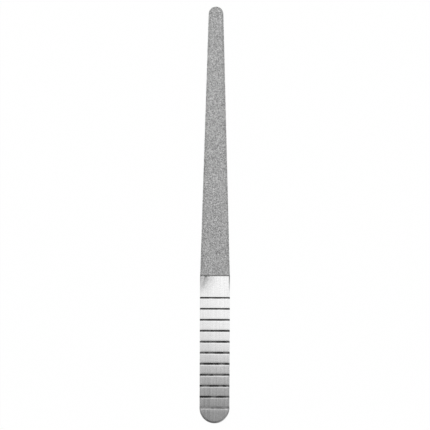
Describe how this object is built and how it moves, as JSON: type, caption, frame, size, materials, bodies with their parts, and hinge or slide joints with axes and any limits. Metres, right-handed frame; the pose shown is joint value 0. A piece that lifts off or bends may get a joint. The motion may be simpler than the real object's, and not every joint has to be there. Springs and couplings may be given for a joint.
{
  "type": "metal nail file",
  "caption": "Slim flat steel nail file: a tapering, round-tipped blade with a grey abrasive coat on both faces and round its edges, and a bare steel handle with cross grooves and a round butt.",
  "frame": {"origin": "on the surface that the file lies on, under the middle of its length and width", "axes": "+Y along the file towards its tip, +Z out of the front face, +X across the file"},
  "size_m": [0.0128, 0.178, 0.0015],
  "materials": {
    "stainless_steel": "satin",
    "coarse_grit": "matte",
    "fine_grit": "matte"
  },
  "bodies": {
    "root": {"steel_blank": "stainless_steel", "front_grit_coat": "coarse_grit", "back_grit_coat": "fine_grit", "edge_grit_coat": "coarse_grit"}
  },
  "joints": []
}
